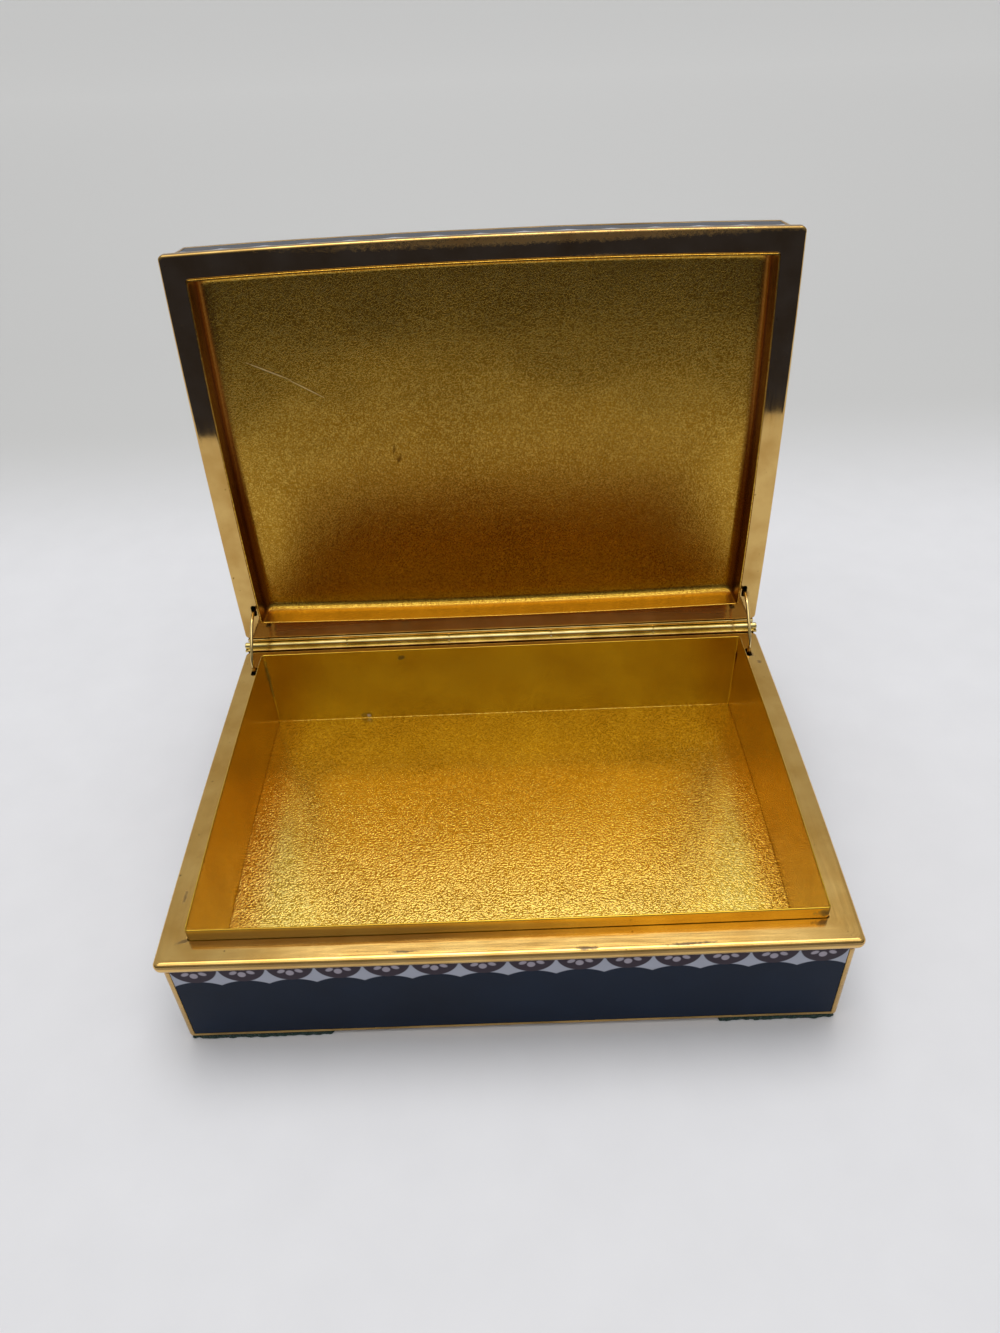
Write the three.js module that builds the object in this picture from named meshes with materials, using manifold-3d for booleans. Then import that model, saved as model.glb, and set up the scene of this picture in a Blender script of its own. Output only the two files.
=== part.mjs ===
// A lacquered brass jewelry box, standing with its lid open on two stay wires.
// Millimetres, +Z up, +X to the right, the front faces -Y. The origin is under the middle of the open box,
// on the surface that it stands on.
import * as THREE from "three";
import { mergeVertices } from "three/addons/utils/BufferGeometryUtils.js";
import Module from "manifold-3d";

const wasm = await Module();
wasm.setup();

// Outer size
const BOX_WIDTH = 165; // between the rim's corners
const BOX_DEPTH = 118.5; // between the rim's corners
const BASE_HEIGHT = 32.7; // from the table to the rim's face, pads included
const LID_HEIGHT = 16.5; // from the lid's rim face to the edge of its top
const LID_OPENING = 92.5; // degrees, held by the stays

// Plan shape
const RIM_CORNER = 1.4; // corner radius in plan
const BASE_SWELL_SIDE = 0.5; // how far the base's short sides bow out in the middle
const BASE_SWELL_FRONT = 0.3;
const LID_SWELL_SIDE = 0.7;
const LID_SWELL_FRONT = 1.3;
const TRAY_SWELL_BACK = 0.9; // the hinge edge itself is straight

// Rims: flat plates with a moulded edge
const RIM_PLATE = 1.2;
const RIM_TOP_ROUND = 0.6;
const BASE_OVERHANG = 1.2; // how far the rim stands out over the case
const BASE_RIM_EDGE = 4.4; // height of the moulded edge
const BASE_RIM_ROUND = 2.2; // the part of that height that rounds back to the case
const LID_OVERHANG = 1.0;
const LID_RIM_EDGE = 3.2;
const LID_RIM_ROUND = 1.4;

// Cases: brass boxes with windows for the lacquered plates
const CASE_WALL = 1.5;
const CASE_BOTTOM = 1.2;
const CASE_CHAMFER = 0.4;
const LID_DRAFT = 0.7; // how far the lid's walls lean in from rim to top
const LID_TOP_PLATE = 1.5;
const LID_TOP_ROUND = 1.0;
const CORNER_STRIP = 1.7; // bare brass left at each corner of a side
const BOTTOM_RAIL = 1.1; // bare brass left along the base's lower edge
const LID_RAIL = 1.2; // bare brass left along the lid's upper edge
const LID_TOP_BORDER = 1.8; // bare brass left round the lid's top
const RECESS = 0.8;
const PLATE_THICKNESS = 0.5;
const PLATE_BELOW_FACE = 0.05;
const PLATE_EDGE_GAP = 0.1;
const TOP_PLATE_CROWN = 0.8;
const TOP_PLATE_CORNER = 2.0;

// Linings
const LINER_SHEET = 0.5;
const LINER_INSET = 6.9; // from the rim's edge to the liner's outer face
const LINER_LIP = 3.7; // how far the liner stands above the rim's face
const LINER_DRAFT = 0.6;
const LINER_CORNER = 2.2;
const INNER_DEPTH = 27.3; // from the top of the lip to the floor plate
const FLOOR_SHEET = 0.6;
const TRAY_SHEET = 0.5;
const TRAY_INSET = 6.1;
const TRAY_LIP = 0.5; // how far the lid's tray stands proud of its rim face
const TRAY_DEPTH = 7.6; // from the lid's rim face to the tray's panel
const TRAY_DRAFT = 0.2; // small, so that the tray closes over the liner's lip
const TRAY_CORNER = 1.7;
const TRAY_DEEP_CORNER = 3.6;
const TRAY_FOLD = 2.4; // radius where the tray's walls turn into its panel

// Hinge
const HINGE_SET_BACK = 2.3; // from the rim's back edge to the axis
const CLOSED_GAP = 1.0; // between the two rim faces when shut; the axis is half way
const BARREL_RADIUS = 1.1;
const PIN_RADIUS = 0.5;
const PIN_FREE_FIT = 0.15; // round the pin in the lid's knuckles
const PIN_TIGHT_FIT = 0.03; // round the pin in the base's knuckles
const HINGE_END_INSET = 1.0; // from the rim's corner to the end of the barrel
const KNUCKLES = 5;
const KNUCKLE_GAP = 0.3;
const LEAF_SHEET = 0.6;
const LEAF_HEIGHT = 2.6;

// Stay wires: arcs about the hinge axis, each running through a slot in both rims
const STAY_RADIUS = 13;
const WIRE_RADIUS = 0.4;
const STAY_INSET = 4.6; // from the rim's side edge to the wire
const STAY_FOOT = 1.1; // length of the turned foot at each end
const SLOT_WIDTH = 1.7;
const SLOT_LENGTH = 4;
const STAY_STOP_GAP = 0.15; // left between a foot and the underside of its rim

// Felt pads under the corners
const PAD_THICKNESS = 1;
const PAD_WIDTH = 33;
const PAD_DEPTH = 24;
const PAD_SIDE_INSET = 1.2; // from the case's left and right faces
const PAD_FRONT_INSET = 0.2; // from its front and back faces

const SEAM = 0.1; // between soldered pieces
const CORNER_STEPS = 5;
const LONG_STEPS = 8;
const SHORT_STEPS = 6;
const ROUND_STEPS = 3;
const OVERCUT = 5; // how far a cutter reaches past what it cuts

// Derived places
const HALF_X = BOX_WIDTH / 2;
const HALF_Y = BOX_DEPTH / 2;
const AXIS_ABOVE_RIM = CLOSED_GAP / 2;
const AXIS_Y = HALF_Y + HINGE_SET_BACK;
const AXIS_Z = BASE_HEIGHT + AXIS_ABOVE_RIM;
const BASE_CASE_TOP = BASE_HEIGHT - BASE_RIM_EDGE - SEAM;
const FLOOR_TOP = BASE_HEIGHT + LINER_LIP - INNER_DEPTH;

const finish = (name, color, roughness, metalness) =>
  new THREE.MeshStandardMaterial({ name, color, roughness, metalness });
const giltBrass = finish("gilt_brass", "#b8862f", 0.2, 1);
const satinBrass = finish("satin_brass", "#b98a1e", 0.35, 1);
const grainedBrass = finish("grained_brass", "#b08a2a", 0.45, 1);
const lacquer = finish("navy_lacquer", "#1c2430", 0.15, 0);
const felt = finish("green_felt", "#18352c", 1, 0);

// The inner division points of a side, from -1 to 1.
const between = (steps) => Array.from({ length: steps - 1 }, (_, i) => (2 * (i + 1)) / steps - 1);

// The points of a rounded rectangle, counterclockwise, whose sides swell outwards by a parabola.
function cushion(halfX, halfY, radius, swell) {
  const [flatX, flatY] = [halfX - radius, halfY - radius];
  const sides = [
    { corner: [1, -1], steps: SHORT_STEPS, at: (t, out) => [halfX + swell.side * out, t * flatY] },
    { corner: [1, 1], steps: LONG_STEPS, at: (t, out) => [-t * flatX, halfY + swell.back * out] },
    { corner: [-1, 1], steps: SHORT_STEPS, at: (t, out) => [-halfX - swell.side * out, -t * flatY] },
    { corner: [-1, -1], steps: LONG_STEPS, at: (t, out) => [t * flatX, -halfY - swell.front * out] },
  ];
  return sides.flatMap(({ corner: [sx, sy], steps, at }, quarterTurn) => {
    const arc = Array.from({ length: CORNER_STEPS + 1 }, (_, i) => {
      const angle = (Math.PI / 2) * (quarterTurn - 1 + i / CORNER_STEPS);
      return [sx * flatX + radius * Math.cos(angle), sy * flatY + radius * Math.sin(angle)];
    });
    return [...arc, ...between(steps).map((t) => at(t, 1 - t * t))];
  });
}

// A plan gives the outline at an inset from the rim's edge; the corner radius may be set by the caller.
// The hinge edge is straight, and the lid's tray alone swells towards it.
const basePlan = (inset, radius = RIM_CORNER) =>
  cushion(HALF_X - inset, HALF_Y - inset, radius, {
    side: BASE_SWELL_SIDE,
    front: BASE_SWELL_FRONT,
    back: 0,
  });
const lidPlan = (inset, radius = RIM_CORNER) =>
  cushion(HALF_X - inset, HALF_Y - inset, radius, {
    side: LID_SWELL_SIDE,
    front: LID_SWELL_FRONT,
    back: TRAY_SWELL_BACK * Math.min(1, Math.max(0, inset / (TRAY_INSET - SEAM))) ** 4,
  });

function meshGeometry(vertices, triangles) {
  const geometry = new THREE.BufferGeometry();
  geometry.setAttribute("position", new THREE.Float32BufferAttribute(vertices.flat(), 3));
  geometry.setIndex(triangles.flat());
  geometry.computeVertexNormals();
  return geometry;
}

// Loops of equal count joined by bands of triangles. Outer sides run upwards, so that faces point out.
function bandTriangles(loopCount, pointCount, closed) {
  const triangles = [];
  const last = closed ? loopCount : loopCount - 1;
  for (let i = 0; i < last; i += 1) {
    const next = (i + 1) % loopCount;
    for (let j = 0; j < pointCount; j += 1) {
      const k = (j + 1) % pointCount;
      const [a, b] = [i * pointCount + j, i * pointCount + k];
      const [c, d] = [next * pointCount + k, next * pointCount + j];
      triangles.push([a, b, c], [a, c, d]);
    }
  }
  return triangles;
}

const loopsOf = (plan, profile) =>
  profile.map(([inset, z, radius]) => plan(inset, radius).map(([x, y]) => [x, y, z]));

// A closed profile of [inset, height, corner radius] carried round the plan.
function ring(plan, profile) {
  const loops = loopsOf(plan, profile);
  return meshGeometry(loops.flat(), bandTriangles(loops.length, loops[0].length, true));
}

// An open profile carried round the plan, its first loop filled from below and its last from above.
function filled(plan, profile, crown = 0) {
  const loops = loopsOf(plan, profile);
  const count = loops[0].length;
  const vertices = loops.flat();
  const triangles = bandTriangles(loops.length, count, false);
  const bottom = vertices.push([0, 0, profile[0][1]]) - 1;
  const top = vertices.push([0, 0, profile.at(-1)[1] + crown]) - 1;
  const upper = (loops.length - 1) * count;
  for (let j = 0; j < count; j += 1) {
    const k = (j + 1) % count;
    triangles.push([bottom, k, j], [top, upper + j, upper + k]);
  }
  return meshGeometry(vertices, triangles);
}

// Points of a quarter round from one [inset, z] to another, bulging towards the corner point.
function quarter(from, to, corner, steps) {
  const points = [];
  for (let i = 0; i <= steps; i += 1) {
    const angle = (Math.PI / 2) * (i / steps);
    const [p, q] = [1 - Math.sin(angle), 1 - Math.cos(angle)];
    points.push([
      corner[0] + (from[0] - corner[0]) * p + (to[0] - corner[0]) * q,
      corner[1] + (from[1] - corner[1]) * p + (to[1] - corner[1]) * q,
    ]);
  }
  return points;
}

function toSolid(geometry) {
  const bare = geometry.clone();
  bare.deleteAttribute("normal");
  bare.deleteAttribute("uv");
  const merged = mergeVertices(bare, 1e-4);
  return new wasm.Manifold(
    new wasm.Mesh({
      numProp: 3,
      vertProperties: new Float32Array(merged.attributes.position.array),
      triVerts: new Uint32Array(merged.index.array),
    }),
  );
}

function toGeometry(solid) {
  const { vertProperties, triVerts } = solid.getMesh();
  const geometry = new THREE.BufferGeometry();
  geometry.setAttribute("position", new THREE.BufferAttribute(vertProperties, 3));
  geometry.setIndex(new THREE.BufferAttribute(triVerts, 1));
  geometry.computeVertexNormals();
  return geometry;
}

// A box from its lowest to its highest corner.
function block([x0, y0, z0], [x1, y1, z1]) {
  const geometry = new THREE.BoxGeometry(x1 - x0, y1 - y0, z1 - z0);
  return geometry.translate((x0 + x1) / 2, (y0 + y1) / 2, (z0 + z1) / 2);
}

// A cylinder along X.
function rod(x0, x1, radius, y, z) {
  const geometry = new THREE.CylinderGeometry(radius, radius, x1 - x0, 16);
  return geometry.rotateZ(Math.PI / 2).translate((x0 + x1) / 2, y, z);
}

function addMesh(group, name, geometry, material) {
  const mesh = new THREE.Mesh(geometry, material);
  mesh.name = name;
  group.add(mesh);
  return mesh;
}

// The four sides, each with the box that its window lies in; "margin" grows or shrinks the window.
function sideWindows(wallInset, bottom, top, margin) {
  const across = HALF_X - wallInset - CORNER_STRIP + margin;
  const along = HALF_Y - wallInset - CORNER_STRIP + margin;
  const [near, far] = [wallInset + OVERCUT, OVERCUT];
  return {
    front: block([-across, -HALF_Y - far, bottom], [across, -HALF_Y + near, top]),
    back: block([-across, HALF_Y - near, bottom], [across, HALF_Y + far, top]),
    left: block([-HALF_X - far, -along, bottom], [-HALF_X + near, along, top]),
    right: block([HALF_X - near, -along, bottom], [HALF_X + far, along, top]),
  };
}

// A layer that follows a wall, from "deep" to "deeper" below its face, which is at "insetAt" of the height.
function wallLayer(plan, insetAt, bottom, top, deep, deeper) {
  return ring(plan, [
    [insetAt(bottom) + deep, bottom],
    [insetAt(top) + deep, top],
    [insetAt(top) + deeper, top],
    [insetAt(bottom) + deeper, bottom],
  ]);
}

// Cuts the four windows in a case and returns it with the plates that fill them.
// "open" is how far the windows are cut on past the bottom and top, where the rim closes them.
function panelledCase(caseGeometry, plan, insetAt, bottom, top, open) {
  const wallInset = insetAt(top);
  let solid = toSolid(caseGeometry);
  const groove = toSolid(
    wallLayer(plan, insetAt, bottom - open.below, top + open.above, -SEAM, RECESS),
  );
  for (const box of Object.values(sideWindows(wallInset, bottom - OVERCUT, top + OVERCUT, 0))) {
    solid = solid.subtract(groove.intersect(toSolid(box)));
  }
  const gap = PLATE_EDGE_GAP;
  const deep = PLATE_BELOW_FACE;
  const layer = toSolid(wallLayer(plan, insetAt, bottom + gap, top - gap, deep, deep + PLATE_THICKNESS));
  const plates = {};
  for (const [side, box] of Object.entries(sideWindows(wallInset, bottom - OVERCUT, top + OVERCUT, -gap))) {
    plates[side] = toGeometry(layer.intersect(toSolid(box)));
  }
  return { solid, plates };
}

// The moulded edge from the case's face up to the rim's face, as [inset, depth below the face].
function rimProfile(overhang, edge, round, inner) {
  const back = overhang + CASE_WALL;
  return [
    ...quarter([overhang, -edge], [0, round - edge], [0, -edge], ROUND_STEPS),
    ...quarter([0, -RIM_TOP_ROUND], [RIM_TOP_ROUND, 0], [0, 0], ROUND_STEPS),
    [inner, 0],
    [inner, -RIM_PLATE],
    [back, -RIM_PLATE],
    [back, -edge],
  ];
}

// Slots for the two stays, cut through a rim whose face is at z = 0.
function slotCutters() {
  const middle = AXIS_Y - STAY_RADIUS;
  return [-1, 1].map((side) => {
    const x = side * (HALF_X - STAY_INSET);
    return block(
      [x - SLOT_WIDTH / 2, middle - SLOT_LENGTH / 2, -OVERCUT],
      [x + SLOT_WIDTH / 2, middle + SLOT_LENGTH / 2, OVERCUT],
    );
  });
}

function rimGeometry(plan, overhang, edge, round, inner, innerCorner) {
  const profile = rimProfile(overhang, edge, round, inner);
  const rounded = profile.map(([inset, z]) => [inset, z, inset >= inner ? innerCorner : RIM_CORNER]);
  let solid = toSolid(ring(plan, rounded));
  for (const cutter of slotCutters()) solid = solid.subtract(toSolid(cutter));
  return toGeometry(solid);
}

// The lid's pieces are drawn shut and upside up, its rim face at z = 0, so the rim is turned over.
function turnedOver(geometry) {
  return geometry.clone().rotateY(Math.PI);
}

function baseGroup() {
  const group = new THREE.Group();
  const wall = () => BASE_OVERHANG;
  const inner = BASE_OVERHANG + CASE_WALL;
  const shell = filled(basePlan, [
    [BASE_OVERHANG + CASE_CHAMFER, PAD_THICKNESS],
    [BASE_OVERHANG, PAD_THICKNESS + CASE_CHAMFER],
    [BASE_OVERHANG, BASE_CASE_TOP],
    [inner, BASE_CASE_TOP],
    [inner, PAD_THICKNESS + CASE_BOTTOM],
  ]);
  const windowFoot = PAD_THICKNESS + BOTTOM_RAIL;
  const { solid, plates } = panelledCase(shell, basePlan, wall, windowFoot, BASE_CASE_TOP, {
    below: 0,
    above: OVERCUT,
  });
  addMesh(group, "base_case", toGeometry(solid), giltBrass);
  for (const [side, plate] of Object.entries(plates)) addMesh(group, `base_plate_${side}`, plate, lacquer);

  const rimInner = LINER_INSET - SEAM;
  const rim = rimGeometry(basePlan, BASE_OVERHANG, BASE_RIM_EDGE, BASE_RIM_ROUND, rimInner, LINER_CORNER);
  addMesh(group, "base_rim", rim, giltBrass).position.z = BASE_HEIGHT;

  const lip = BASE_HEIGHT + LINER_LIP;
  const foot = FLOOR_TOP - FLOOR_SHEET;
  const liner = ring(basePlan, [
    [LINER_INSET + LINER_DRAFT, foot, LINER_CORNER],
    [LINER_INSET, BASE_HEIGHT - RIM_PLATE, LINER_CORNER],
    [LINER_INSET, lip, LINER_CORNER],
    [LINER_INSET + LINER_SHEET, lip, LINER_CORNER - LINER_SHEET],
    [LINER_INSET + LINER_SHEET, BASE_HEIGHT - RIM_PLATE, LINER_CORNER - LINER_SHEET],
    [LINER_INSET + LINER_SHEET + LINER_DRAFT, foot, LINER_CORNER - LINER_SHEET],
  ]);
  addMesh(group, "base_liner", liner, satinBrass);

  const floorInset = LINER_INSET + LINER_SHEET + LINER_DRAFT + SEAM;
  const floorCorner = LINER_CORNER - LINER_SHEET;
  const floor = filled(basePlan, [
    [floorInset, foot, floorCorner],
    [floorInset, FLOOR_TOP, floorCorner],
  ]);
  addMesh(group, "base_floor", floor, grainedBrass);

  for (const [sideName, sx] of [["left", -1], ["right", 1]]) {
    for (const [rowName, sy] of [["front", -1], ["back", 1]]) {
      const x = sx * (HALF_X - BASE_OVERHANG - PAD_SIDE_INSET - PAD_WIDTH / 2);
      const y = sy * (HALF_Y - BASE_OVERHANG - PAD_FRONT_INSET - PAD_DEPTH / 2);
      const pad = addMesh(
        group,
        `felt_pad_${rowName}_${sideName}`,
        new THREE.BoxGeometry(PAD_WIDTH, PAD_DEPTH, PAD_THICKNESS),
        felt,
      );
      pad.position.set(x, y, PAD_THICKNESS / 2);
    }
  }
  return group;
}

// Knuckles with their leaf, drawn with the axis at the origin and the rim's face AXIS_ABOVE_RIM below it.
function hingeHalf(owns, fit) {
  const start = -HALF_X + HINGE_END_INSET;
  const pitch = (BOX_WIDTH - 2 * HINGE_END_INSET) / KNUCKLES;
  const top = -AXIS_ABOVE_RIM;
  const front = SEAM - HINGE_SET_BACK;
  let solid = toSolid(block([start, front, top - LEAF_HEIGHT], [-start, front + LEAF_SHEET, top]));
  for (let i = 0; i < KNUCKLES; i += 1) {
    if (!owns(i)) continue;
    const x0 = start + i * pitch + (i > 0 ? KNUCKLE_GAP / 2 : 0);
    const x1 = start + (i + 1) * pitch - (i < KNUCKLES - 1 ? KNUCKLE_GAP / 2 : 0);
    solid = solid.add(toSolid(block([x0, front, -BARREL_RADIUS], [x1, 0, top])));
    solid = solid.add(toSolid(rod(x0, x1, BARREL_RADIUS, 0, 0)));
  }
  const bore = rod(start - OVERCUT, -start + OVERCUT, PIN_RADIUS + fit, 0, 0);
  return toGeometry(solid.subtract(toSolid(bore)));
}

function lidGroup() {
  const group = new THREE.Group();
  const wallTop = LID_HEIGHT - LID_TOP_ROUND;
  const wallFoot = LID_RIM_EDGE + SEAM;
  const insetAt = (z) => LID_OVERHANG + (LID_DRAFT * (z - wallFoot)) / (wallTop - wallFoot);
  const ceiling = LID_HEIGHT - LID_TOP_PLATE;
  const shell = filled(lidPlan, [
    [insetAt(ceiling) + CASE_WALL, ceiling],
    [insetAt(wallFoot) + CASE_WALL, wallFoot],
    [insetAt(wallFoot), wallFoot],
    ...quarter(
      [insetAt(wallTop), wallTop],
      [insetAt(wallTop) + LID_TOP_ROUND, LID_HEIGHT],
      [insetAt(wallTop), LID_HEIGHT],
      ROUND_STEPS,
    ),
  ]);
  const windowTop = LID_HEIGHT - LID_TOP_ROUND - LID_RAIL;
  const { solid, plates } = panelledCase(shell, lidPlan, insetAt, wallFoot, windowTop, {
    below: OVERCUT,
    above: 0,
  });
  const topInset = insetAt(wallTop) + LID_TOP_BORDER;
  const floor = LID_HEIGHT - RECESS;
  const recess = filled(lidPlan, [
    [topInset, floor, TOP_PLATE_CORNER],
    [topInset, LID_HEIGHT + OVERCUT, TOP_PLATE_CORNER],
  ]);
  addMesh(group, "lid_case", toGeometry(solid.subtract(toSolid(recess))), giltBrass);
  for (const [side, plate] of Object.entries(plates)) addMesh(group, `lid_plate_${side}`, plate, lacquer);

  // The top plate rises to a low crown: each smaller copy of its outline is higher by a parabola.
  const under = floor + RECESS - PLATE_THICKNESS - PLATE_BELOW_FACE;
  const shares = [1, 0.85, 0.65, 0.4];
  const edgeInset = topInset + PLATE_EDGE_GAP;
  const topPlan = (share) =>
    lidPlan(edgeInset, TOP_PLATE_CORNER).map(([x, y]) => [x * share, y * share]);
  const crowned = shares.map((share) => [
    share,
    LID_HEIGHT - PLATE_BELOW_FACE + TOP_PLATE_CROWN * (1 - share * share),
  ]);
  const lastCrown = TOP_PLATE_CROWN * shares.at(-1) ** 2;
  addMesh(group, "lid_plate_top", filled(topPlan, [[1, under], ...crowned], lastCrown), lacquer);

  const rimInner = TRAY_INSET - SEAM;
  const rim = rimGeometry(lidPlan, LID_OVERHANG, LID_RIM_EDGE, LID_RIM_ROUND, rimInner, TRAY_CORNER);
  addMesh(group, "lid_rim", turnedOver(rim), giltBrass);

  const deep = TRAY_INSET + TRAY_DRAFT;
  const fold = TRAY_FOLD;
  const innerCurve = quarter(
    [deep + TRAY_SHEET + fold, TRAY_DEPTH],
    [deep + TRAY_SHEET, TRAY_DEPTH - fold],
    [deep + TRAY_SHEET, TRAY_DEPTH],
    ROUND_STEPS,
  );
  const outerCurve = quarter(
    [deep, TRAY_DEPTH - fold],
    [deep + TRAY_SHEET + fold, TRAY_DEPTH + TRAY_SHEET],
    [deep, TRAY_DEPTH + TRAY_SHEET],
    ROUND_STEPS,
  );
  // The corners open out from the lip's radius to the panel's along the fold.
  const cornerAt = (share) => TRAY_CORNER + (TRAY_DEEP_CORNER - TRAY_CORNER) * share;
  const tray = filled(lidPlan, [
    ...innerCurve.map(([inset, z], i) => [inset, z, cornerAt(1 - i / ROUND_STEPS)]),
    [TRAY_INSET + TRAY_SHEET, -TRAY_LIP, TRAY_CORNER],
    [TRAY_INSET, -TRAY_LIP, TRAY_CORNER],
    [TRAY_INSET, RIM_PLATE, TRAY_CORNER],
    ...outerCurve.map(([inset, z], i) => [inset, z, cornerAt(i / ROUND_STEPS)]),
  ]);
  addMesh(group, "lid_tray", tray, grainedBrass);
  return group;
}

// One stay: an arc about the hinge axis, with a foot turned inwards at each end behind its rim.
class StayArc extends THREE.Curve {
  constructor(from, to) {
    super();
    this.from = from;
    this.to = to;
  }

  getPoint(t, target = new THREE.Vector3()) {
    const angle = this.from + (this.to - this.from) * t;
    return target.set(0, -STAY_RADIUS * Math.cos(angle), STAY_RADIUS * Math.sin(angle));
  }
}

function stayGeometry(side) {
  const footDepth = AXIS_ABOVE_RIM + RIM_PLATE + STAY_STOP_GAP + WIRE_RADIUS;
  const past = Math.asin(footDepth / STAY_RADIUS);
  const [from, to] = [-past, THREE.MathUtils.degToRad(LID_OPENING) + past];
  const curve = new StayArc(from, to);
  const section = new THREE.Shape().absarc(0, 0, WIRE_RADIUS, 0, 2 * Math.PI);
  const wire = new THREE.ExtrudeGeometry(section, {
    extrudePath: curve,
    steps: 20,
    curveSegments: 4,
    bevelEnabled: false,
  });
  let solid = toSolid(wire);
  for (const t of [0, 1]) {
    const end = curve.getPoint(t);
    const [x0, x1] = side < 0 ? [-WIRE_RADIUS, STAY_FOOT] : [-STAY_FOOT, WIRE_RADIUS];
    solid = solid.add(toSolid(rod(x0, x1, WIRE_RADIUS, end.y, end.z)));
  }
  return toGeometry(solid);
}

function jewelryBox() {
  const box = new THREE.Group();
  box.add(baseGroup());

  const axis = new THREE.Group();
  axis.position.set(0, AXIS_Y, AXIS_Z);
  box.add(axis);
  const isBaseKnuckle = (i) => i % 2 === 0;
  const isLidKnuckle = (i) => i % 2 === 1;
  addMesh(axis, "hinge_base", hingeHalf(isBaseKnuckle, PIN_TIGHT_FIT), giltBrass);
  const pinEnd = HALF_X - HINGE_END_INSET;
  addMesh(axis, "hinge_pin", rod(-pinEnd, pinEnd, PIN_RADIUS, 0, 0), giltBrass);
  for (const [name, side] of [["left", -1], ["right", 1]]) {
    const stay = addMesh(axis, `stay_${name}`, stayGeometry(side), giltBrass);
    stay.position.x = side * (HALF_X - STAY_INSET);
  }

  const swing = new THREE.Group();
  swing.rotation.x = -THREE.MathUtils.degToRad(LID_OPENING);
  axis.add(swing);
  const lidHinge = hingeHalf(isLidKnuckle, PIN_FREE_FIT).rotateY(Math.PI);
  addMesh(swing, "hinge_lid", lidHinge, giltBrass);
  const lid = lidGroup();
  lid.position.set(0, -AXIS_Y, AXIS_ABOVE_RIM);
  swing.add(lid);

  // The origin goes under the middle of the open box.
  const bounds = new THREE.Box3().setFromObject(box, true);
  box.position.y = -(bounds.min.y + bounds.max.y) / 2;
  return box;
}

const root = new THREE.Group();
root.add(jewelryBox());
export default root;
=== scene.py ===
# %% [markdown]
# # A lacquered brass jewelry box
# The real object is a shallow box of thin gilt brass. Its sides are dark blue lacquer plates with a painted
# border, and its inside is a drawn brass tray with a grained floor. The lid stands open on two wire stays.
# The construction comes as a fixed frame: each brass part is already at its real size and place.
# This lesson gives every part its fine surface and its finish, and lights it like the photograph.

# %% Load the fixed frame
import math

import bmesh
import bpy
import numpy as np
from mathutils import Matrix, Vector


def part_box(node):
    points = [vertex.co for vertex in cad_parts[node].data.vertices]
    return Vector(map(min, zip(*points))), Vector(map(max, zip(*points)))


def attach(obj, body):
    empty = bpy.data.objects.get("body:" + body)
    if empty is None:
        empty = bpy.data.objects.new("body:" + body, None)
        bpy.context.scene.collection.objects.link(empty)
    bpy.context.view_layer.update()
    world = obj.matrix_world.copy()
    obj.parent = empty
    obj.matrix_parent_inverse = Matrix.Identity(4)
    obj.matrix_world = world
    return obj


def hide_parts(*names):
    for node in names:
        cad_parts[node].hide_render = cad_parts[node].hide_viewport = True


MM = 0.001
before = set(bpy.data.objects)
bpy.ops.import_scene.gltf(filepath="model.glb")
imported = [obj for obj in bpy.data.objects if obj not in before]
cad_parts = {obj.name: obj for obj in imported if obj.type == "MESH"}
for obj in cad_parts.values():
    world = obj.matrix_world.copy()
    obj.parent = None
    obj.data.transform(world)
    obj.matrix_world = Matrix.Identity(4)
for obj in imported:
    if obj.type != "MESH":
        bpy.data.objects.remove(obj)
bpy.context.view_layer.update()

# %% [markdown]
# ## The camera
# The photograph looks down into the open box from a little above the lid. The place and the turn of the
# camera were worked out from the box's own right angles, so they are given as numbers: where the eye is,
# how far the view is turned to the left, how steeply it looks down and how much it leans.

# %% Place the camera
EYE = (4.16, -206.17, 225.89)
HEADING = 1.042
DIP = 38.79
LEAN = -2.932
LENS = 26.6

camera = bpy.data.objects.new("camera", bpy.data.cameras.new("camera"))
bpy.context.scene.collection.objects.link(camera)
bpy.context.scene.camera = camera
camera.data.lens = LENS
camera.data.sensor_width = 36
camera.data.clip_start = 10 * MM
camera.matrix_world = (
    Matrix.Translation([c * MM for c in EYE])
    @ Matrix.Rotation(math.radians(HEADING), 4, "Z")
    @ Matrix.Rotation(math.radians(90 - DIP), 4, "X")
    @ Matrix.Rotation(math.radians(LEAN), 4, "Z")
)
bpy.context.scene.view_settings.view_transform = "Standard"
print("eye is", round(EYE[2]), "mm above the table, looking down", DIP, "degrees")

# %% [markdown]
# ## Colours and nodes
# Colours are written as the hex values that a paint program shows. Blender mixes light in linear values,
# so one function turns them. A second small function adds any shader node with its settings and links,
# which keeps each material short enough to read as a recipe.


# %% Tools for materials
def linear(code):
    """The linear colour of an sRGB hex code: c / 12.92 when dark, else ((c + 0.055) / 1.055) to the 2.4."""
    c = np.array([int(code[i : i + 2], 16) for i in (1, 3, 5)]) / 255
    rgb = np.where(c <= 0.04045, c / 12.92, ((c + 0.055) / 1.055) ** 2.4)
    return (*rgb.tolist(), 1.0)


def add(tree, kind, inputs=None, **settings):
    """Adds one shader node. A node or socket given as an input is linked; a hex code becomes a colour."""
    made = tree.nodes.new("ShaderNode" + kind)
    for name, value in settings.items():
        setattr(made, name, value)
    for key, value in (inputs or {}).items():
        if isinstance(value, bpy.types.Node):
            value = value.outputs[0]
        if isinstance(value, bpy.types.NodeSocket):
            tree.links.new(value, made.inputs[key])
        else:
            made.inputs[key].default_value = linear(value) if isinstance(value, str) else value
    return made


SOFT = {"interpolation_type": "SMOOTHSTEP"}
FALLING = {"To Min": 1, "To Max": 0}


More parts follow.
